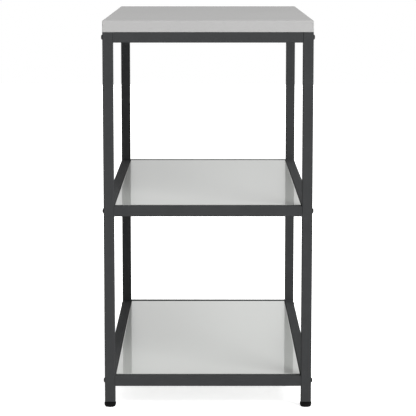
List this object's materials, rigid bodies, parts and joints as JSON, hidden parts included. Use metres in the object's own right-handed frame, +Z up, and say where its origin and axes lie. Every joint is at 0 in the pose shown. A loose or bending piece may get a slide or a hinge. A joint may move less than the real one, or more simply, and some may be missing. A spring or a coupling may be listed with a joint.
{
  "type": "potting bench",
  "caption": "Three-tier potting bench: square-tube steel frame with a thick flush worktop, two flush sheet-metal shelves and round screw-adjusted levelling feet.",
  "frame": {"origin": "on the floor, under the middle of the bench", "axes": "+X across the width to the right-hand side, +Y along the length to the back end, +Z up"},
  "size_m": [0.5058, 1.0034, 0.934],
  "materials": {
    "powder_coat": "satin powder coat",
    "shelf_sheet": "gloss",
    "worktop_sheet": "matt",
    "core_board": "melamine faced",
    "zinc_steel": "zinc plated",
    "black_steel": "black oxide",
    "insert_plastic": "moulded",
    "pad_plastic": "moulded",
    "sole_rubber": "matt"
  },
  "bodies": {
    "frame": {"leg_front_left": "powder_coat", "leg_front_right": "powder_coat", "leg_back_left": "powder_coat", "leg_back_right": "powder_coat", "side_rail_left_bottom": "powder_coat", "side_rail_left_middle": "powder_coat", "side_rail_left_top": "powder_coat", "side_rail_right_bottom": "powder_coat", "side_rail_right_middle": "powder_coat", "side_rail_right_top": "powder_coat", "end_rail_front_bottom": "powder_coat", "end_rail_front_middle": "powder_coat", "end_rail_front_top": "powder_coat", "end_rail_back_bottom": "powder_coat", "end_rail_back_middle": "powder_coat", "end_rail_back_top": "powder_coat", "end_rail_plugs_front": "zinc_steel", "end_rail_plugs_back": "zinc_steel", "frame_bolts_left": "black_steel", "frame_bolts_right": "black_steel", "shelf_lugs_bottom": "powder_coat", "shelf_lugs_middle": "powder_coat", "worktop_tabs": "powder_coat", "shelf_bottom": "shelf_sheet", "shelf_middle": "shelf_sheet", "shelf_stiffeners_bottom": "shelf_sheet", "shelf_stiffeners_middle": "shelf_sheet", "shelf_screws_bottom": "zinc_steel", "shelf_screws_middle": "zinc_steel", "worktop_core": "core_board", "worktop_skin": "worktop_sheet", "worktop_screws": "zinc_steel", "foot_insert_front_left": "insert_plastic", "foot_insert_front_right": "insert_plastic", "foot_insert_back_left": "insert_plastic", "foot_insert_back_right": "insert_plastic"},
    "sole_front_left": {"foot_sole_front_left": "sole_rubber"},
    "foot_front_left": {"foot_pad_front_left": "pad_plastic", "foot_stud_front_left": "zinc_steel"},
    "sole_front_right": {"foot_sole_front_right": "sole_rubber"},
    "foot_front_right": {"foot_pad_front_right": "pad_plastic", "foot_stud_front_right": "zinc_steel"},
    "sole_back_left": {"foot_sole_back_left": "sole_rubber"},
    "foot_back_left": {"foot_pad_back_left": "pad_plastic", "foot_stud_back_left": "zinc_steel"},
    "sole_back_right": {"foot_sole_back_right": "sole_rubber"},
    "foot_back_right": {"foot_pad_back_right": "pad_plastic", "foot_stud_back_right": "zinc_steel"}
  },
  "joints": [
    {"name": "foot_travel_front_left", "type": "slide", "parent": "frame", "child": "sole_front_left", "axis": [0, 0, 1], "range_m": [-0.01, 0]},
    {"name": "foot_turn_front_left", "type": "hinge", "parent": "sole_front_left", "child": "foot_front_left", "pos_m": [-0.2375, -0.4875, 0.006], "axis": [0, 0, 1], "range_deg": [-2890, 0]},
    {"name": "foot_travel_front_right", "type": "slide", "parent": "frame", "child": "sole_front_right", "axis": [0, 0, 1], "range_m": [-0.01, 0]},
    {"name": "foot_turn_front_right", "type": "hinge", "parent": "sole_front_right", "child": "foot_front_right", "pos_m": [0.2375, -0.4875, 0.006], "axis": [0, 0, 1], "range_deg": [-2890, 0]},
    {"name": "foot_travel_back_left", "type": "slide", "parent": "frame", "child": "sole_back_left", "axis": [0, 0, 1], "range_m": [-0.01, 0]},
    {"name": "foot_turn_back_left", "type": "hinge", "parent": "sole_back_left", "child": "foot_back_left", "pos_m": [-0.2375, 0.4875, 0.006], "axis": [0, 0, 1], "range_deg": [-2890, 0]},
    {"name": "foot_travel_back_right", "type": "slide", "parent": "frame", "child": "sole_back_right", "axis": [0, 0, 1], "range_m": [-0.01, 0]},
    {"name": "foot_turn_back_right", "type": "hinge", "parent": "sole_back_right", "child": "foot_back_right", "pos_m": [0.2375, 0.4875, 0.006], "axis": [0, 0, 1], "range_deg": [-2890, 0]}
  ],
  "couplings": [
    {"joint": "foot_turn_front_left", "follows": "foot_travel_front_left", "rad_per_m": 5026.5},
    {"joint": "foot_turn_front_right", "follows": "foot_travel_front_right", "rad_per_m": 5026.5},
    {"joint": "foot_turn_back_left", "follows": "foot_travel_back_left", "rad_per_m": 5026.5},
    {"joint": "foot_turn_back_right", "follows": "foot_travel_back_right", "rad_per_m": 5026.5}
  ]
}
